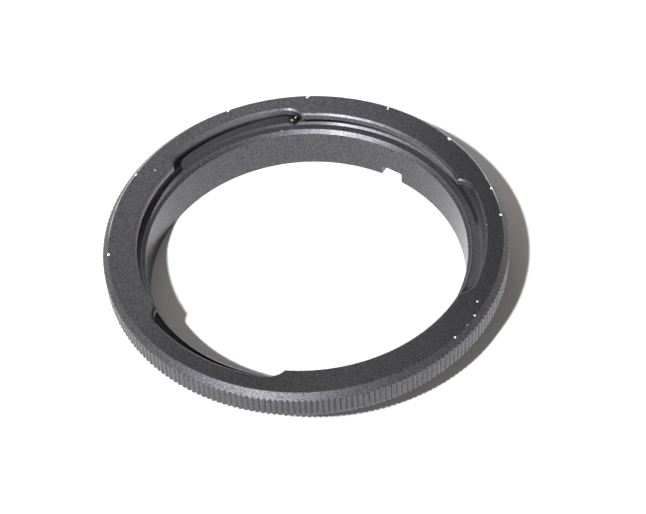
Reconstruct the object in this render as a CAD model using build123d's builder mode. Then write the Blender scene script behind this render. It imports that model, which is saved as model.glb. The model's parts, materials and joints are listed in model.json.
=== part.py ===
from build123d import *
import os

# Lens mount adapter: a turned and milled aluminium ring. A lens locks into the three-lug
# bayonet in its top, and the three-lug bayonet on its tube locks into a camera body.
# Millimetres. The axis is Z, the camera-side end of the tube stands on Z = 0 and +Z points
# at the lens. Angles are degrees about Z, counted from +X towards +Y.

# Radial chain, from the light opening outwards
bore_radius = 24.85
tube_wall = 0.95
ledge_width = 0.85
lens_opening_step = 1.15
lens_gap_depth = 1.55
groove_undercut = 0.95
rim_wall = 2.70

# Axial chain, from the camera-side end up to the lens seat
tube_length = 5.55
floor_thickness = 1.60
groove_height = 1.55
lens_lug_thickness = 1.20

# Lens-side bayonet. A cutter mills each gap between two lugs: its centre runs round the axis
# from a start angle over a span.
lens_lug_count = 3
lens_lug_chamfer = 0.34
lens_gap_cutter_radius = 3.30
lens_gap_start = 94.5
lens_gap_span = 39.6
lens_gap_edge_break = 0.30
relief_width = 1.20
relief_depth = 0.50
mouth_chamfer = 0.70

# Camera-side bayonet
camera_lug_count = 3
spigot_step = 0.90
spigot_height = 1.20
camera_lug_depth = 0.85
camera_lug_thickness = 1.50
camera_lug_lift = 0.60
camera_lug_angle = 52.0
camera_lug_middle = 113.0
camera_lug_edge_break = 0.25
notch_width = 3.90
notch_height = 1.80
notch_angle = 53.0
lock_slot_length = 3.20
lock_slot_width = 1.50
lock_slot_depth = 1.80
lock_slot_wall = 0.35
lock_slot_angle = 290.0

# Rim
rim_top_chamfer = 0.95
knurl_count = 230
knurl_depth = 0.26
knurl_width = 0.50
knurl_land = 0.10
tube_edge_break = 0.25

# Stop screw
stop_head_diameter = 1.65
stop_head_height = 1.00
stop_head_chamfer = 0.15
stop_shank_diameter = 1.00
stop_shank_clearance = 0.02
stop_end_recess = 0.15
stop_slot_width = 0.30
stop_slot_depth = 0.40
stop_slot_turn = 30.0
stop_wall_clearance = 0.25
stop_angle = 91.3

# Levels and radii that follow from the chains
camera_seat = tube_length
groove_floor = camera_seat + floor_thickness
lug_underside = groove_floor + groove_height
lens_seat = lug_underside + lens_lug_thickness
tube_radius = bore_radius + tube_wall
spigot_radius = tube_radius + spigot_step
camera_lug_radius = tube_radius + camera_lug_depth
camera_lug_top = camera_lug_lift + camera_lug_thickness
lens_lug_radius = bore_radius + lens_opening_step
lens_gap_radius = lens_lug_radius + lens_gap_depth
groove_radius = lens_gap_radius + groove_undercut
rim_radius = groove_radius + rim_wall
ledge_radius = bore_radius + ledge_width
relief_radius = ledge_radius + relief_width
lock_slot_radius = groove_radius + lock_slot_wall + lock_slot_width / 2
stop_radius = groove_radius - stop_wall_clearance - stop_head_diameter / 2
stop_hole_diameter = stop_shank_diameter + 2 * stop_shank_clearance

# Outline of one gap between two lens lugs, as its cutter leaves it
with BuildLine() as gap_path:
    CenterArc((0, 0), lens_gap_radius - lens_gap_cutter_radius, lens_gap_start, lens_gap_span)
with BuildSketch() as milled_gap:
    SlotArc(gap_path.wire(), 2 * lens_gap_cutter_radius)

# Section of one knurl flute, opening outwards along +X from its root line
with BuildSketch() as flute:
    with BuildLine():
        Polyline((0, 0), (2 * knurl_depth, knurl_width), (2 * knurl_depth, -knurl_width), close=True)
    make_face()

# One lug of the camera-side bayonet, from +X round towards +Y, rooted in the tube's wall
with BuildPart() as camera_lug:
    with BuildSketch(Plane.XZ):
        with BuildLine():
            Polyline(
                (tube_radius - tube_wall / 2, camera_lug_lift),
                (camera_lug_radius - camera_lug_edge_break, camera_lug_lift),
                (camera_lug_radius, camera_lug_lift + camera_lug_edge_break),
                (camera_lug_radius, camera_lug_top - camera_lug_edge_break),
                (camera_lug_radius - camera_lug_edge_break, camera_lug_top),
                (tube_radius - tube_wall / 2, camera_lug_top),
                close=True,
            )
        make_face()
    revolve(axis=Axis.Z, revolution_arc=camera_lug_angle)

# Bayonet ring: tube, floor, groove, lens seat and knurled rim in one piece
with BuildPart() as ring:
    with BuildSketch(Plane.XZ):
        with BuildLine():
            Polyline(
                (bore_radius, 0),
                (tube_radius - tube_edge_break, 0),
                (tube_radius, tube_edge_break),
                (tube_radius, camera_seat - spigot_height),
                (spigot_radius - tube_edge_break, camera_seat - spigot_height),
                (spigot_radius, camera_seat - spigot_height + tube_edge_break),
                (spigot_radius, camera_seat),
                (rim_radius, camera_seat),
                (rim_radius, lens_seat - rim_top_chamfer),
                (rim_radius - rim_top_chamfer, lens_seat),
                (lens_lug_radius + lens_lug_chamfer, lens_seat),
                (lens_lug_radius, lens_seat - lens_lug_chamfer),
                (lens_lug_radius, lug_underside),
                (groove_radius, lug_underside),
                (groove_radius, groove_floor),
                (relief_radius + relief_depth, groove_floor),
                (relief_radius, groove_floor - relief_depth),
                (ledge_radius, groove_floor - relief_depth),
                (ledge_radius, groove_floor),
                (bore_radius + mouth_chamfer, groove_floor),
                (bore_radius, groove_floor - mouth_chamfer),
                close=True,
            )
        make_face()
    revolve(axis=Axis.Z)

    # Gaps between the lens lugs, where the lens's own lugs pass in
    with BuildSketch(Plane.XY.offset(lug_underside)):
        with PolarLocations(0, lens_lug_count):
            add(milled_gap.sketch)
    extrude(amount=lens_lug_thickness, mode=Mode.SUBTRACT)
    gap_walls = ring.faces().filter_by(GeomType.CYLINDER).filter_by(
        lambda wall: min(abs(wall.radius - lens_gap_radius), abs(wall.radius - lens_gap_cutter_radius)) < 1e-6
    )
    chamfer(gap_walls.edges().group_by(Axis.Z)[-1], lens_gap_edge_break)

    # Lugs of the camera-side bayonet, on the lower end of the tube
    with PolarLocations(0, camera_lug_count, start_angle=camera_lug_middle - camera_lug_angle / 2):
        add(camera_lug.part)

    # Notch in the tube's lower edge
    with BuildSketch(Plane.XY):
        with PolarLocations(bore_radius + tube_wall / 2, 1, start_angle=notch_angle):
            Rectangle(4 * tube_wall, notch_width)
    extrude(amount=notch_height, mode=Mode.SUBTRACT)

    # Slot for the camera's lock pin, in the camera seat
    with BuildSketch(Plane.XY.offset(camera_seat)):
        with PolarLocations(lock_slot_radius, 1, start_angle=lock_slot_angle):
            SlotOverall(lock_slot_length, lock_slot_width, rotation=90)
    extrude(amount=lock_slot_depth, mode=Mode.SUBTRACT)

    # Hole for the stop screw, through the groove's floor
    with BuildSketch(Plane.XY.offset(camera_seat)):
        with PolarLocations(stop_radius, 1, start_angle=stop_angle):
            Circle(stop_hole_diameter / 2)
    extrude(amount=floor_thickness, mode=Mode.SUBTRACT)

    # Straight knurl: V flutes from the camera seat up to a plain land under the rim's top chamfer
    with BuildSketch(Plane.XY.offset(camera_seat)):
        with PolarLocations(rim_radius - knurl_depth, knurl_count):
            add(flute.sketch)
    extrude(amount=lens_seat - rim_top_chamfer - knurl_land - camera_seat, mode=Mode.SUBTRACT)

# Stop screw: slotted cheese head on the groove's floor, where a lens lug comes to rest against it
with BuildPart() as screw:
    with Locations((0, 0, groove_floor)):
        Cylinder(stop_head_diameter / 2, stop_head_height, align=(Align.CENTER, Align.CENTER, Align.MIN))
    chamfer(screw.edges().group_by(Axis.Z)[-1], stop_head_chamfer)
    with BuildSketch(Plane.XY.offset(groove_floor + stop_head_height)):
        Rectangle(2 * stop_head_diameter, stop_slot_width, rotation=stop_slot_turn)
    extrude(amount=-stop_slot_depth, mode=Mode.SUBTRACT)
    with Locations((0, 0, groove_floor)):
        Cylinder(
            stop_shank_diameter / 2,
            floor_thickness - stop_end_recess,
            align=(Align.CENTER, Align.CENTER, Align.MAX),
        )

with BuildPart() as stop_screw:
    with PolarLocations(stop_radius, 1, start_angle=stop_angle):
        add(screw.part)

os.makedirs("parts", exist_ok=True)
ring.part.label = "bayonet_ring"
export_step(ring.part, "parts/bayonet_ring.step")
stop_screw.part.label = "stop_screw"
export_step(stop_screw.part, "parts/stop_screw.step")
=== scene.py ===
import json
from math import acos, asin, atan2, cos, degrees, hypot, radians, sin, sqrt

import bmesh
import bpy
from mathutils import Matrix, Vector


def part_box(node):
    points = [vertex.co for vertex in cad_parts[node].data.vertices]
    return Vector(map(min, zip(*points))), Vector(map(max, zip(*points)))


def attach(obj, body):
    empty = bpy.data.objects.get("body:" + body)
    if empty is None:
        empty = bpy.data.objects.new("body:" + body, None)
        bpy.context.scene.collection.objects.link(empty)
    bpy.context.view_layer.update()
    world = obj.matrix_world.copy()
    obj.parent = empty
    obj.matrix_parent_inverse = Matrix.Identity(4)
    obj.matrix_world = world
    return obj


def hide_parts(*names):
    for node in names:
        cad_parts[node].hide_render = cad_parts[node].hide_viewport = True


# A lens mount adapter in black anodised aluminium, standing on its tube on a white floor.
# Lengths below are millimetres and angles degrees about +Z from +X, unless a name says otherwise.

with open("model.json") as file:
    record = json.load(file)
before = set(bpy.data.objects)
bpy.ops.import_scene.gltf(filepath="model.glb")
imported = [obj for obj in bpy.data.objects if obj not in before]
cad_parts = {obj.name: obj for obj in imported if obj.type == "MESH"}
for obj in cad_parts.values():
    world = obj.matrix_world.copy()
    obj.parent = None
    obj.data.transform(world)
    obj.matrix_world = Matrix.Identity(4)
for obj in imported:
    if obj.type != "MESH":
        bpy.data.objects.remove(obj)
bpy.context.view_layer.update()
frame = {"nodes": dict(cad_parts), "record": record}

MM = 0.001
mounts = {mount["name"]: mount for mount in frame["record"]["mounts"]}

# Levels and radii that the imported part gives
lens_seat = mounts["lens_seat"]["pos_m"][2] / MM
camera_seat = mounts["camera_seat"]["pos_m"][2] / MM
bore_radius = mounts["throat"]["dims"]["r_mm"]
spigot_radius = mounts["camera_spigot"]["dims"]["r_mm"]
crest_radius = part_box("bayonet_ring")[1][0] / MM
lug_underside = mounts["lens_bayonet"]["pos_m"][2] / MM
camera_lug_top = mounts["camera_bayonet"]["pos_m"][2] / MM
lock_slot_place = Vector(mounts["lock_slot"]["pos_m"]) / MM

# The ring's section. The bore opens a little towards the lens, and the ledge at its mouth lies just
# below the groove's floor.
tube_wall = 0.95
bore_draft = 0.09
ledge_width = 0.85
ledge_drop = 0.18
lug_step = 1.15
gap_depth = 1.55
groove_undercut = 0.95
groove_height = 1.55
relief_width = 1.05
relief_depth = 0.34
mouth_chamfer = 0.70
spigot_height = 1.20
rim_chamfer = 0.95
tube_edge_break = 0.25
fine_edge = 0.05
seat_margin = 0.20
seat_edge = 0.10

# Lens-side bayonet: lugs, and gaps whose cutter's centre runs from an angle over a span
lug_count = 3
lug_chamfer = 0.34
gap_cutter = 3.30
gap_start = 94.5
gap_span = 39.6
gap_edge_break = 0.30

# Camera-side bayonet, notch, lock slot, stop screw's hole
camera_lug_count = 3
camera_lug_depth = 0.85
camera_lug_thickness = 1.50
camera_lug_angle = 52.0
camera_lug_middle = 113.0
camera_lug_edge = 0.25
notch_width = 3.90
notch_height = 1.80
notch_angle = 53.0
notch_edge = 0.06
lock_slot_length = 3.20
lock_slot_width = 1.50
lock_slot_depth = 1.80
screw_hole_radius = 0.52

# Knurl: one tooth as (share of the pitch, share of the depth), from one crest to the next
knurl_count = 230
knurl_depth = 0.21
knurl_tooth = (
    (0.13, 0.00),
    (0.24, 0.14),
    (0.38, 0.68),
    (0.50, 1.00),
    (0.62, 0.68),
    (0.76, 0.14),
    (0.87, 0.00),
)

# Fineness of the mesh
corner_steps = 16
end_steps = 24
sharp_angle = radians(20)
longest_break = 0.45
no_length = 1e-9
beside_angle = 1e-5
cutter_overlap = 0.2
same_place_m = 1e-7

tube_radius = bore_radius + tube_wall
lug_radius = bore_radius + lug_step
gap_radius = lug_radius + gap_depth
groove_radius = gap_radius + groove_undercut
ledge_radius = bore_radius + ledge_width
relief_radius = ledge_radius + relief_width
relief_brim = relief_radius + relief_depth
top_radius = crest_radius - rim_chamfer
groove_floor = lug_underside - groove_height
ledge_level = groove_floor - ledge_drop
relief_floor = groove_floor - relief_depth
spigot_end = camera_seat - spigot_height
camera_lug_radius = tube_radius + camera_lug_depth
camera_lug_bottom = camera_lug_top - camera_lug_thickness
cutter_path = gap_radius - gap_cutter
lug_brink = lug_radius + lug_chamfer
lug_pitch = 360 / lug_count
gap_brink = gap_radius + gap_edge_break
camera_lug_pitch = 360 / camera_lug_count
notch_half = degrees(asin(notch_width / 2 / (bore_radius + tube_wall / 2)))

# Bright nicks in the anodising: angle, radius, depth below the lens seat, half-length round the ring,
# half-width along the radius, how bare, lean off the radius
nicks = (
    (2.0, 30.22, 0.05, 0.20, 0.26, 1.0, 0),
    (12.8, 30.20, 0.05, 0.26, 0.24, 1.0, 0),
    (17.0, 30.25, 0.05, 0.14, 0.14, 0.5, 0),
    (36.9, 30.08, 0.05, 0.36, 0.22, 1.0, 0),
    (60.2, 29.98, 0.05, 0.10, 0.42, 0.9, 8),
    (86.0, 30.10, 0.05, 0.14, 0.55, 1.0, -42),
    (111.5, 30.20, 0.05, 0.18, 0.38, 1.0, -40),
    (150.0, 30.22, 0.05, 0.28, 0.18, 1.0, 0),
    (182.5, 30.22, 0.05, 0.28, 0.20, 1.0, 0),
    (313.0, 30.25, 0.05, 0.17, 0.15, 0.8, 0),
    (318.5, 30.25, 0.05, 0.12, 0.12, 0.25, 0),
    (322.5, 30.16, 0.05, 0.19, 0.15, 0.8, 0),
    (327.3, 29.25, 0.00, 0.19, 0.15, 0.8, 0),
    (145.5, 27.98, 0.00, 0.16, 0.14, 0.5, 0),
    (358.5, 27.80, 0.10, 0.14, 0.10, 0.25, 0),
    (95.8, 25.60, 2.75, 0.20, 0.08, 0.8, 0),
)
nick_half_height = 0.35
nick_raggedness = 0.9
nick_sharpness = 5.0
dent_share = 0.5


def apart(angle, middle):
    """Signed angle from middle to angle, between -180 and 180."""
    return (angle - middle + 180) % 360 - 180


def nearest(angle, middle, pitch):
    """Signed angle to the nearest of the copies of middle round the ring."""
    return (angle - middle + pitch / 2) % pitch - pitch / 2


def gap_reach(angle, cutter):
    """Radius out to which a cutter on the gaps' path has cut at an angle, or 0 beside the gaps."""
    off = radians(max(abs(nearest(angle, gap_start + gap_span / 2, lug_pitch)) - gap_span / 2, 0.0))
    beside = cutter_path * sin(off)
    return cutter_path * cos(off) + sqrt(cutter ** 2 - beside ** 2) if beside <= cutter else 0.0


def corner_span(radius, cutter):
    """Degrees from the cutter's last place to where its cut meets a radius."""
    return degrees(acos((cutter_path ** 2 + radius ** 2 - cutter ** 2) / (2 * cutter_path * radius)))


def dent(angle):
    """How far the nicks cut into the rim's top edge at an angle."""
    depth = 0.0
    for place, radius, _, half_length, half_width, whiteness, _ in nicks:
        off = radians(apart(angle, place)) * radius / half_length
        if abs(radius - top_radius) < half_width and abs(off) < 1:
            depth = max(depth, dent_share * half_width * whiteness * (1 - off ** 2))
    return depth


def rim_edge(angle):
    """Radius of the knurled rim at an angle."""
    share = (angle * knurl_count / 360) % 1
    points = ((0.0, 0.0),) + knurl_tooth + ((1.0, 0.0),)
    for (x0, y0), (x1, y1) in zip(points, points[1:]):
        if x0 <= share <= x1:
            return crest_radius - knurl_depth * (y0 + (y1 - y0) * (share - x0) / (x1 - x0))
    return crest_radius


def outline(angle, state):
    """The ring's section at an angle, up the bore and down the rim: (radius, height, edge break) corners."""
    on_camera_lug, on_notch = state
    base = notch_height if on_notch else 0.0
    tube_edge = notch_edge if on_notch else tube_edge_break
    wall = max(lug_radius, gap_reach(angle, gap_cutter))
    brink = max(lug_brink, gap_reach(angle, gap_cutter + gap_edge_break))
    wall_drop = lug_chamfer if wall == lug_radius else gap_edge_break
    rim = rim_edge(angle)
    reach = camera_lug_radius if on_camera_lug else tube_radius
    reach_edge = camera_lug_edge if on_camera_lug else 0.0
    mouth = bore_radius + mouth_chamfer
    bore_top = bore_radius + bore_draft
    above_base = base + tube_edge
    return [
        (bore_radius - bore_draft, base, fine_edge),
        (bore_top, ledge_level - (mouth - bore_top), fine_edge),
        (mouth, ledge_level, fine_edge),
        (ledge_radius, ledge_level, fine_edge),
        (ledge_radius, relief_floor, 0),
        (relief_radius, relief_floor, 0),
        (relief_brim, groove_floor, fine_edge),
        (groove_radius, groove_floor, 0),
        (groove_radius, lug_underside, 0),
        (wall, lug_underside, fine_edge),
        (wall, lens_seat - wall_drop, fine_edge),
        (brink, lens_seat, fine_edge),
        (gap_brink + fine_edge, lens_seat, 0),
        (top_radius - seat_margin, lens_seat, 0),
        (top_radius, lens_seat, fine_edge + dent(angle)),
        (rim, lens_seat - (rim - top_radius), 0),
        (rim, camera_seat + seat_edge, 0),
        (rim - seat_edge, camera_seat, 0),
        (spigot_radius, camera_seat, 0),
        (spigot_radius, spigot_end + tube_edge_break, 0),
        (spigot_radius - tube_edge_break, spigot_end, 0),
        (tube_radius, spigot_end, 0),
        (tube_radius, max(camera_lug_top, above_base), 0),
        (reach - reach_edge, max(camera_lug_top, above_base), 0),
        (reach, max(camera_lug_top - reach_edge, above_base), 0),
        (reach, max(camera_lug_bottom + reach_edge, above_base), 0),
        (reach - reach_edge, max(camera_lug_bottom, above_base), 0),
        (tube_radius, max(camera_lug_bottom, above_base), 0),
        (tube_radius, above_base, 0),
        (tube_radius - tube_edge, base, 0),
    ]


def broken_edges(corners):
    """The outline's points, with each corner that has an edge break cut into two."""
    points = []
    count = len(corners)
    for index, (radius, height, cut) in enumerate(corners):
        if not cut:
            points.append((radius, height))
            continue
        for other in (corners[index - 1], corners[(index + 1) % count]):
            run = hypot(other[0] - radius, other[1] - height)
            share = min(cut / run, longest_break) if run > no_length else 0.0
            points.append((radius + share * (other[0] - radius), height + share * (other[1] - height)))
    return points


def state_at(angle):
    """Whether a camera lug and the notch are there at an angle."""
    return (
        abs(nearest(angle, camera_lug_middle, camera_lug_pitch)) < camera_lug_angle / 2,
        abs(apart(angle, notch_angle)) < notch_half,
    )


def column_angles():
    """Every angle at which the ring's mesh has a column of points."""
    angles = [(tooth + share) * 360 / knurl_count for tooth in range(knurl_count) for share, _ in knurl_tooth]
    wall_end = corner_span(lug_radius, gap_cutter)
    brink_end = corner_span(lug_brink, gap_cutter + gap_edge_break)
    past_gap = [wall_end * step / corner_steps for step in range(corner_steps + 1)] + [brink_end]
    for copy in range(lug_count):
        start = gap_start + copy * lug_pitch
        for past in past_gap:
            angles += [start - past, start + gap_span + past]
    for copy in range(camera_lug_count):
        middle = camera_lug_middle + copy * camera_lug_pitch
        angles += [middle - camera_lug_angle / 2, middle + camera_lug_angle / 2]
    angles += [notch_angle - notch_half, notch_angle + notch_half]
    return sorted(angle % 360 for angle in angles)


def ring_mesh():
    """The whole ring as one closed mesh of columns, with two columns where a lug or the notch ends."""
    columns = []
    for angle in column_angles():
        states = [state_at(angle - beside_angle), state_at(angle + beside_angle)]
        for state in states if states[0] != states[1] else states[:1]:
            columns.append((angle, broken_edges(outline(angle, state))))
    mesh = bmesh.new()
    rows = []
    for angle, points in columns:
        c, s = cos(radians(angle)) * MM, sin(radians(angle)) * MM
        rows.append([mesh.verts.new((radius * c, radius * s, height * MM)) for radius, height in points])
    for here, there in zip(rows, rows[1:] + rows[:1]):
        for index in range(len(here)):
            mesh.faces.new((here[index - 1], here[index], there[index], there[index - 1]))
    bmesh.ops.remove_doubles(mesh, verts=mesh.verts, dist=same_place_m)
    bmesh.ops.dissolve_degenerate(mesh, edges=mesh.edges, dist=same_place_m)
    bmesh.ops.recalc_face_normals(mesh, faces=mesh.faces)
    return mesh


def smoothed(data):
    """A mesh with smooth faces and sharp edges by angle."""
    data.shade_smooth()
    data.set_sharp_from_angle(angle=sharp_angle)
    return data


def linked(name, data):
    """A new object in the scene."""
    thing = bpy.data.objects.new(name, data)
    bpy.context.scene.collection.objects.link(thing)
    return thing


def stored(mesh, name):
    """A bmesh as a smoothed object in the scene."""
    data = bpy.data.meshes.new(name)
    mesh.to_mesh(data)
    mesh.free()
    return linked(name, smoothed(data))


def capsule(middle, turn, straight, radius, bottom, height):
    """An upright cutter with round ends, from just below its bottom level."""
    points = []
    for step in range(2 * end_steps):
        angle = radians(step * 180 / end_steps - 90)
        end = straight / 2 if step < end_steps else -straight / 2
        points.append((end + radius * cos(angle), radius * sin(angle)))
    mesh = bmesh.new()
    rows = []
    for level in (bottom - cutter_overlap, bottom + height):
        rows.append([mesh.verts.new((x * MM, y * MM, level * MM)) for x, y in points])
    mesh.faces.new(rows[0])
    mesh.faces.new(rows[1])
    for index in range(2 * end_steps):
        mesh.faces.new((rows[0][index - 1], rows[0][index], rows[1][index], rows[1][index - 1]))
    bmesh.ops.recalc_face_normals(mesh, faces=mesh.faces)
    bmesh.ops.rotate(mesh, verts=mesh.verts, matrix=Matrix.Rotation(radians(turn), 3, "Z"))
    bmesh.ops.translate(mesh, verts=mesh.verts, vec=(middle.x * MM, middle.y * MM, 0))
    return stored(mesh, "cutter")


def cut(piece, cutter):
    """Takes a cutter's shape out of a piece."""
    modifier = piece.modifiers.new("cut", "BOOLEAN")
    modifier.operation = "DIFFERENCE"
    modifier.solver = "EXACT"
    modifier.object = cutter
    shape = piece.evaluated_get(bpy.context.evaluated_depsgraph_get())
    data = bpy.data.meshes.new_from_object(shape)
    piece.modifiers.clear()
    piece.data = smoothed(data)
    bpy.data.objects.remove(cutter)


class Nodes:
    """The node tree of a material or the world, with short calls to add and join nodes."""

    def __init__(self, owner):
        owner.use_nodes = True
        self.owner = owner
        self.tree = owner.node_tree
        self.tree.nodes.clear()

    def add(self, kind, settings=(), **inputs):
        """A node with its settings, and its inputs by name with _ for a space."""
        node = self.tree.nodes.new(kind)
        for key, value in dict(settings).items():
            setattr(node, key, value)
        for key, value in inputs.items():
            self.put(node.inputs[key.replace("_", " ")], value)
        return node

    def put(self, socket, value):
        """Joins a socket to another one, or gives it a plain value."""
        if isinstance(value, bpy.types.NodeSocket):
            self.tree.links.new(value, socket)
        else:
            socket.default_value = value

    def math(self, operation, *values, clamp=False):
        node = self.tree.nodes.new("ShaderNodeMath")
        node.operation = operation
        node.use_clamp = clamp
        for socket, value in zip(node.inputs, values):
            self.put(socket, value)
        return node.outputs[0]

    def product(self, first, *others):
        """All values multiplied."""
        for other in others:
            first = self.math("MULTIPLY", first, other)
        return first

    def largest(self, first, *others):
        """The largest of all values."""
        for other in others:
            first = self.math("MAXIMUM", first, other)
        return first

    def rest(self, share):
        """What a share leaves of one."""
        return self.math("SUBTRACT", 1.0, share)

    def swing(self, noise, size):
        """A noise's swing about its middle, times a size."""
        return self.math("MULTIPLY", self.math("SUBTRACT", noise, 0.5), size)

    def mix(self, share, first, second):
        """A colour between two others."""
        node = self.tree.nodes.new("ShaderNodeMix")
        node.data_type = "RGBA"
        self.put(node.inputs["Factor"], share)
        self.put(node.inputs["A"], first)
        self.put(node.inputs["B"], second)
        return node.outputs["Result"]

    def noise(self, vector, scale, detail, roughness):
        node = self.add(
            "ShaderNodeTexNoise", Vector=vector, Scale=scale, Detail=detail, Roughness=roughness
        )
        return node.outputs["Fac"]

    def ramp(self, value, low, high, first, second):
        """A smooth change from first to second while value goes from low to high."""
        node = self.tree.nodes.new("ShaderNodeMapRange")
        node.interpolation_type = "SMOOTHSTEP"
        names = ("Value", "From Min", "From Max", "To Min", "To Max")
        for name, number in zip(names, (value, low, high, first, second)):
            self.put(node.inputs[name], number)
        return node.outputs["Result"]

    def rise(self, value, low, high):
        return self.ramp(value, low, high, 0.0, 1.0)

    def fall(self, value, low, high):
        return self.ramp(value, low, high, 1.0, 0.0)

    def stretch(self, value, ends, blurs):
        """One between two ends and none past them, with a half-width of blur at each end."""
        start = self.rise(value, ends[0] - blurs[0], ends[0] + blurs[0])
        return self.product(start, self.fall(value, ends[1] - blurs[1], ends[1] + blurs[1]))

    def spot(self, place, middle, half_sizes, turn=0.0):
        """Distance from a spot's middle, where 1 is the border that its half-sizes give."""
        inside = self.add(
            "ShaderNodeMapping", {"vector_type": "TEXTURE"}, Vector=place,
            Location=Vector(middle) * MM, Rotation=(0, 0, radians(turn)), Scale=Vector(half_sizes) * MM,
        )
        far = self.add("ShaderNodeVectorMath", {"operation": "LENGTH"}, Vector=inside.outputs[0])
        return far.outputs["Value"]

    def finish(self, shader, kind="Material"):
        """Joins the shader to the tree's output and gives back the tree's owner."""
        out = self.tree.nodes.new("ShaderNodeOutput" + kind)
        self.tree.links.new(shader, out.inputs["Surface"])
        return self.owner


def grey(value, tint=(1.0, 1.0, 1.0)):
    """A grey with a slight tint."""
    return (value * tint[0], value * tint[1], value * tint[2], 1.0)


def on_ring(angle, radius, height):
    """The place at an angle, a radius and a height."""
    return (radius * cos(radians(angle)), radius * sin(radians(angle)), height)


# Patches of the ring's finish, and of its painted light and shade, have soft borders, or fade between two
# places that a pair gives: across the ring, along the radius, down from the lens seat, or by how far a face
# looks up, which is 0 on a wall and 1 on a level face.
soft = 0.1
wall_to_level = (0.3, 0.7)
steep_to_slope = (0.2, 0.6)
slope_to_level = (0.80, 0.95)
level = (0.90, 0.98)
left_side = (-6.0, -1.0)
far_left = (-22.0, -18.0)
front_groove = (-12.0, -9.0)
front_walls = (-8.0, -3.0)
past_bore = (0.4, 0.7)
before_cone = (0.2, 0.05)
past_gap_wall = (-0.3, 0.1)
seat_depth = (0.1, 0.05)

# Painted light, standing in for light that reaches them: how pale the groove's floor behind the front,
# the walls and slopes on the left, and the walls and floor behind the gaps are painted
floor_light_share = 0.22
wall_light_shares = (0.6, 0.4)
groove_light_shares = (0.8, 0.3)

# Stretches of the rim's top edge painted pale, a painted highlight of grazing reflection, patchy and thin
rim_glint_stretches = ((6.0, 46.0), (128.0, 172.0))
rim_glint_blurs = (5.0, 8.0)
rim_glint_middle = 0.05
rim_glint_reach = (0.04, 0.16)
rim_glint_depth = (0.6, 0.4)
rim_glint_blotches = (0.3, 0.6)
rim_glint_shares = (0.15, 0.4)

# Stretches of the relief's cone: one that is dull, and one of painted shade, kept dark and dulled
dull_cone = (78.0, 157.5)
dull_blurs = (5.0, 7.5)
dull_share = 0.6
shaded_cone_span = (4.0, 28.0)
shaded_cone_blurs = (3.0, 3.0)
shaded_cone_share = 0.95

# The groove's near side, which lies in shade: how dull, as painted shade
near_groove_shade_share = 0.9

# Painted shade on the sides of two lug ends, whose reflection is dulled: angle, radius, reach, how dull
dulled_lug_ends = ((210.0, 27.0, 2.6, 0.9), (19.0, 27.0, 3.0, 0.6))
dulled_lug_end_border = (0.7, 1.0)

# Duller patches on the lens seat: middle, half span, how dull
seat_dull_patches = ((240.0, 34.0, 0.38), (0.0, 50.0, 0.22), (160.0, 50.0, 0.14))

# Anodising: noises as (scale per millimetre, detail, roughness), then its greys and its gloss
turning_marks = (9.0, 3.0, 0.6)
turning_stretch = radians(0.4)
blotch_noise = (0.24, 4.0, 0.6)
grain_noise = (4.2, 2.0, 0.8)
deep_black = grey(0.008, (0.99, 0.99, 1.06))
thin_black = grey(0.012, (1.0, 0.98, 1.06))
grain_black = grey(0.020, (0.99, 0.99, 1.05))
grain_share = 0.5
# Pale grey of painted light in the groove and on the walls
painted_light_grey = grey(0.10, (1.0, 0.99, 1.02))
# Pale grey of bare metal in the nicks, and of the painted highlight on the rim's top edge
bare_and_glint_white = grey(0.95)
roughness = 0.28
slant_roughness = 0.21
blotch_roughness = 0.10
slant_middle = 0.65
slant_reach = 0.45
slant_sharpness = 6.0
bump_strength = 0.30
bump_depth = 0.02
gloss_middle = 0.5
grain_gloss = 1.9
gloss_tint = (0.97, 0.965, 1.09, 1.0)
oxide_ior = 1.76
coat_weight = 0.16
coat_roughness = 0.28

# Stop screw: scratches, and a painted highlight on its head, off the head's middle
scratch_noise = (2.5, 3.0, 0.6)
screw_black = grey(0.012)
scratch_grey = grey(0.06, (1.0, 0.97, 0.93))
screw_glint = (0.35, -0.30)
screw_glint_size = (0.34, 0.10, 0.20)
screw_glint_turn = 41.0
screw_glint_sharpness = 4.0
screw_glint_grey = grey(0.9)
screw_metallic = 0.6
screw_roughness = 0.22
scratch_roughness = 0.2


class Surface:
    """A point of the ring, for its finish and its painted light and shade: where it is, where its face looks,
    and which area it is in.
    """

    def __init__(self, n):
        self.place = n.add("ShaderNodeTexCoord").outputs["Object"]
        axes = n.add("ShaderNodeSeparateXYZ", Vector=self.place).outputs
        self.x, self.y, self.z = (n.math("DIVIDE", axes[name], MM) for name in "XYZ")
        squares = n.math("ADD", n.product(self.x, self.x), n.product(self.y, self.y))
        self.radius = n.math("SQRT", squares)
        self.turn = n.math("DEGREES", n.math("ARCTAN2", self.y, self.x))
        normal = n.add("ShaderNodeNewGeometry").outputs["Normal"]
        self.facing = n.add("ShaderNodeSeparateXYZ", Vector=normal).outputs["Z"]

        self.on_left = n.fall(self.x, *left_side)
        self.behind_front = n.rise(self.y, *front_groove)
        self.off_bore = n.rise(self.radius, bore_radius + past_bore[0], bore_radius + past_bore[1])
        self.under_lugs = n.fall(self.z, lug_underside - soft / 2, lug_underside + soft / 2)
        self.above_relief = n.rise(self.z, relief_floor - soft, relief_floor)
        self.groove_faces = n.product(self.under_lugs, self.off_bore, n.rise(self.facing, *wall_to_level))
        self.cone = n.product(
            self.under_lugs,
            n.rise(self.radius, relief_radius - before_cone[0], relief_radius - before_cone[1]),
            n.fall(self.radius, relief_brim, relief_brim + soft),
            self.above_relief,
        )
        # Painted shade: a stretch of the cone that is neither paled nor glossy
        self.cone_shade = n.product(self.cone, n.stretch(self.turn, shaded_cone_span, shaded_cone_blurs))


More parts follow.
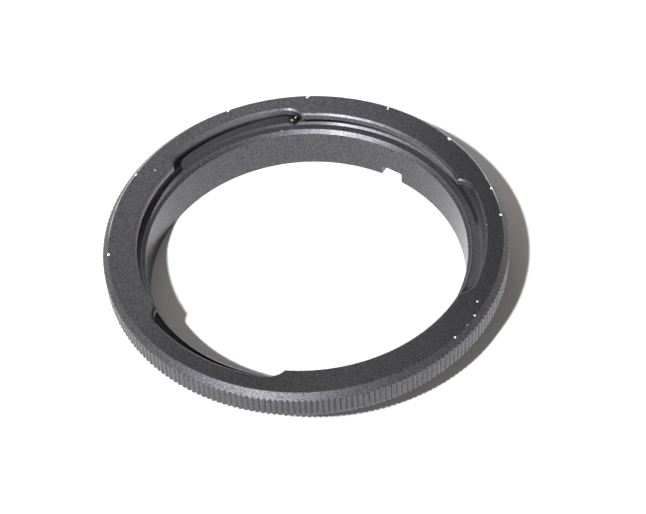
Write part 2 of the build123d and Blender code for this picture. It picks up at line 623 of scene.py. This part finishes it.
def nick_marks(n, at, grain):
    """How bare the ring is where it is nicked."""
    ragged = n.swing(grain, nick_raggedness)
    marks = []
    for angle, radius, drop, half_length, half_width, whiteness, lean in nicks:
        middle = on_ring(angle, radius, lens_seat - drop)
        far = n.spot(at.place, middle, (half_width, half_length, nick_half_height), angle + lean)
        inside = n.rest(n.math("ADD", far, ragged))
        marks.append(n.product(n.math("MULTIPLY", inside, nick_sharpness, clamp=True), whiteness))
    return n.largest(*marks)


def painted_rim_glint(n, at, blotches):
    """How pale the rim's top edge is painted, as a painted highlight along stretches of it."""
    off_edge = n.math("ABSOLUTE", n.math("SUBTRACT", at.radius, top_radius + rim_glint_middle))
    return n.product(
        n.fall(off_edge, *rim_glint_reach),
        n.largest(*(n.stretch(at.turn, ends, rim_glint_blurs) for ends in rim_glint_stretches)),
        n.ramp(blotches, *rim_glint_blotches, *rim_glint_shares),
        n.rise(at.z, lens_seat - rim_glint_depth[0], lens_seat - rim_glint_depth[1]),
    )


def painted_light_patches(n, at):
    """How pale the ring is painted where painted light stands in for light on the groove's floor, the left
    walls and slopes, and the groove behind the gaps.
    """
    painted_floor_light = n.product(at.groove_faces, at.behind_front, n.rest(at.cone_shade), floor_light_share)
    painted_wall_light = n.product(
        n.rest(at.under_lugs),
        n.fall(at.radius, gap_brink, gap_brink + soft / 2),
        n.fall(at.facing, *slope_to_level),
        n.ramp(at.facing, *steep_to_slope, *wall_light_shares),
        at.on_left,
        n.rise(at.y, *front_walls),
    )
    behind_gaps = n.product(
        n.rise(at.radius, gap_radius + past_gap_wall[0], gap_radius + past_gap_wall[1]),
        n.ramp(at.facing, *wall_to_level, *groove_light_shares),
    )
    under_left_lug = n.product(at.off_bore, n.fall(at.x, *far_left))
    painted_groove_light = n.product(
        at.under_lugs,
        at.above_relief,
        n.fall(at.radius, groove_radius + soft, groove_radius + 2 * soft),
        at.on_left,
        n.largest(behind_gaps, under_left_lug),
        at.behind_front,
    )
    return n.largest(painted_floor_light, painted_wall_light, painted_groove_light)


def dull_patches(n, at):
    """How dull the ring is on the relief's cone, on the groove's near side, on the sides of two lug ends and
    in patches on the lens seat; the near side, the lug ends and one stretch of the cone are painted shade.
    """
    patches = [
        n.product(at.cone, n.stretch(at.turn, dull_cone, dull_blurs), dull_share),
        n.product(at.cone_shade, shaded_cone_share),
        # Painted shade: the groove's near side loses its reflection
        n.product(at.groove_faces, n.rest(at.behind_front), near_groove_shade_share),
    ]
    # Painted shade: the sides of two lug ends lose their reflection
    for angle, radius, reach, share in dulled_lug_ends:
        far = n.spot(at.place, on_ring(angle, radius, lens_seat), (reach, reach, reach))
        patches.append(n.product(n.fall(far, *dulled_lug_end_border), n.fall(at.facing, *slope_to_level), share))
    on_seat = n.rise(at.z, lens_seat - seat_depth[0], lens_seat - seat_depth[1])
    on_seat = n.product(on_seat, n.rise(at.facing, *level))
    for middle, half_span, share in seat_dull_patches:
        across = n.math("COSINE", n.math("RADIANS", n.math("SUBTRACT", at.turn, middle)))
        patches.append(n.product(on_seat, n.rise(across, cos(radians(half_span)), 1.0), share))
    return n.largest(*patches)


def anodised():
    """Black satin anodised aluminium: turned, slightly blotchy, bare where it is nicked, with painted light
    in the groove and on walls, painted shade on parts of the cone, groove and lug ends, and a painted
    highlight on the rim's top edge.
    """
    n = Nodes(bpy.data.materials.new("black_anodised"))
    at = Surface(n)
    round_ring = n.math("MULTIPLY", at.turn, turning_stretch)
    turned = n.add("ShaderNodeCombineXYZ", X=at.radius, Y=at.z, Z=round_ring).outputs[0]
    marks = n.noise(turned, *turning_marks)
    blotches = n.noise(at.place, blotch_noise[0] / MM, *blotch_noise[1:])
    grain = n.noise(at.place, grain_noise[0] / MM, *grain_noise[1:])

    shade = n.mix(blotches, deep_black, thin_black)
    shade = n.mix(n.product(grain, grain_share), shade, grain_black)
    # Painted light: paler on the groove's floor, on the left walls and slopes, and in the groove behind the
    # gaps
    shade = n.mix(painted_light_patches(n, at), shade, painted_light_grey)
    # Pale marks: bare metal where the ring is nicked, and a painted highlight along stretches of the rim's
    # top edge
    whiteness = n.largest(nick_marks(n, at, grain), painted_rim_glint(n, at, blotches))

    off_slant = n.math("ABSOLUTE", n.math("SUBTRACT", n.math("ABSOLUTE", at.facing), slant_middle))
    slant = n.math("MULTIPLY", n.math("SUBTRACT", slant_reach, off_slant), slant_sharpness, clamp=True)
    rough = n.math("ADD", roughness, n.product(slant, slant_roughness))
    rough = n.math("ADD", rough, n.swing(blotches, blotch_roughness))
    gloss = n.math("ADD", gloss_middle, n.swing(grain, grain_gloss), clamp=True)
    gloss = n.product(gloss, n.rest(dull_patches(n, at)))
    height = n.math("ADD", marks, grain)
    bump = n.add("ShaderNodeBump", Strength=bump_strength, Distance=bump_depth * MM, Height=height)
    shader = n.add(
        "ShaderNodeBsdfPrincipled",
        Base_Color=n.mix(whiteness, shade, bare_and_glint_white), Roughness=rough, IOR=oxide_ior,
        Specular_IOR_Level=gloss, Specular_Tint=gloss_tint,
        Coat_Weight=coat_weight, Coat_Roughness=coat_roughness, Normal=bump.outputs["Normal"],
    )
    return n.finish(shader.outputs["BSDF"])


def blackened(middle, top):
    """Blackened steel with fine scratches and one painted highlight on the stop screw's head."""
    n = Nodes(bpy.data.materials.new("blackened_steel"))
    place = n.add("ShaderNodeTexCoord").outputs["Object"]
    scratches = n.noise(place, scratch_noise[0] / MM, *scratch_noise[1:])
    # Painted highlight: a pale streak on the screw's head, standing in for a glint
    glint_middle = (middle.x + screw_glint[0], middle.y + screw_glint[1], top)
    far = n.spot(place, glint_middle, screw_glint_size, screw_glint_turn)
    whiteness = n.math("MULTIPLY", n.rest(far), screw_glint_sharpness, clamp=True)
    colour = n.mix(scratches, screw_black, scratch_grey)
    shader = n.add(
        "ShaderNodeBsdfPrincipled",
        Base_Color=n.mix(whiteness, colour, screw_glint_grey),
        Metallic=n.product(n.rest(whiteness), screw_metallic),
        Roughness=n.math("ADD", screw_roughness, n.product(scratches, scratch_roughness)),
    )
    return n.finish(shader.outputs["BSDF"])


# Floor of white paper
floor_reach = 1500.0
floor_cells = 8
floor_drop = 0.01
paper_noise = (0.04, 3.0, 0.5)
paper_white = grey(0.68)
paper_bright = grey(0.70)

# Lamp, white card and room
lamp_place = (-339.0, -516.0, 774.0)
lamp_radius = 25.0
lamp_watts = 80.0
card_place = (-35.0, 120.0, 120.0)
card_size = (120.0, 120.0)
card_watts = 0.062
card_back = (0, 1, 0)
room_tint = (1.07, 0.99, 0.94)
room_low = 1.12
room_front = 0.31
room_back = 0.02
front_to_back = (0.05, 0.50)
low_to_high = (0.0, 0.45)


def floor_material():
    """Plain white paper."""
    n = Nodes(bpy.data.materials.new("white_floor"))
    place = n.add("ShaderNodeTexCoord").outputs["Object"]
    paper = n.noise(place, paper_noise[0] / MM, *paper_noise[1:])
    shader = n.add("ShaderNodeBsdfDiffuse", Color=n.mix(paper, paper_white, paper_bright))
    return n.finish(shader.outputs["BSDF"])


def make_floor():
    """A flat floor far past the camera's view, just under the tube's end."""
    mesh = bmesh.new()
    bmesh.ops.create_grid(mesh, x_segments=floor_cells, y_segments=floor_cells, size=floor_reach * MM)
    bmesh.ops.translate(mesh, verts=mesh.verts, vec=(0, 0, -floor_drop * MM))
    floor = stored(mesh, "floor")
    floor.data.materials.append(floor_material())


def make_light():
    """A small key lamp at the front left, a white card at the back left, and a pale room."""
    lamp = bpy.data.lights.new("key", "POINT")
    lamp.energy = lamp_watts
    lamp.shadow_soft_size = lamp_radius * MM
    linked("key", lamp).location = Vector(lamp_place) * MM

    panel = bpy.data.lights.new("card", "AREA")
    panel.shape = "RECTANGLE"
    panel.size, panel.size_y = card_size[0] * MM, card_size[1] * MM
    panel.energy = card_watts
    card = linked("card", panel)
    card.location = Vector(card_place) * MM
    card.rotation_euler = Vector(card_back).to_track_quat("Z", "Y").to_euler()

    room = bpy.data.worlds.new("room")
    bpy.context.scene.world = room
    n = Nodes(room)
    way = n.add("ShaderNodeTexCoord").outputs["Generated"]
    way = n.add("ShaderNodeSeparateXYZ", Vector=way).outputs
    overhead = n.ramp(way["Y"], *front_to_back, room_front, room_back)
    light = n.ramp(way["Z"], *low_to_high, room_low, overhead)
    shader = n.add("ShaderNodeBackground", Color=grey(1.0, room_tint), Strength=light)
    n.finish(shader.outputs[0], "World")


# Camera, from the photograph's circles: it looks at the ring's axis on the lens seat
photo_width, photo_height = 646, 514
camera_elevation = 48.29
camera_roll = 4.13
camera_distance = 284.4
focal_pixels = 1856.5
aim_pixel = (305.12, 233.89)
sensor = 36.0


def make_camera():
    """The photograph's camera, with the axis at its aim pixel."""
    data = bpy.data.cameras.new("camera")
    data.sensor_fit = "HORIZONTAL"
    data.sensor_width = sensor
    data.lens = focal_pixels / photo_width * sensor
    data.shift_x = (photo_width / 2 - aim_pixel[0]) / photo_width
    data.shift_y = (aim_pixel[1] - photo_height / 2) / photo_width
    camera = linked("camera", data)
    elevation, roll = radians(camera_elevation), radians(camera_roll)
    back = Vector((0, -cos(elevation), sin(elevation)))
    right, up = Vector((1, 0, 0)), Vector((0, sin(elevation), cos(elevation)))
    x_axis = cos(roll) * right - sin(roll) * up
    y_axis = sin(roll) * right + cos(roll) * up
    place = Matrix((x_axis, y_axis, back)).transposed().to_4x4()
    place.translation = Vector((0, 0, lens_seat * MM)) + back * camera_distance * MM
    camera.matrix_world = place
    bpy.context.scene.camera = camera


screw_low, screw_high = (Vector(corner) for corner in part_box("stop_screw"))
screw_middle = (screw_low + screw_high) / 2 / MM
slot_turn = degrees(atan2(lock_slot_place.y, lock_slot_place.x)) + 90
slot_straight = lock_slot_length - lock_slot_width
slot_cutter = (lock_slot_place, slot_turn, slot_straight, lock_slot_width / 2, camera_seat, lock_slot_depth)
hole_cutter = (screw_middle, 0, 0, screw_hole_radius, camera_seat, groove_floor - camera_seat)

ring = stored(ring_mesh(), "ring")
cut(ring, capsule(*slot_cutter))
cut(ring, capsule(*hole_cutter))
ring.data.materials.append(anodised())
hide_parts("bayonet_ring")
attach(ring, "root")

screw = frame["nodes"]["stop_screw"]
screw.data.materials.clear()
screw.data.materials.append(blackened(screw_middle, screw_high.z / MM))

make_floor()
make_light()
make_camera()
bpy.context.scene.view_settings.view_transform = "Standard"
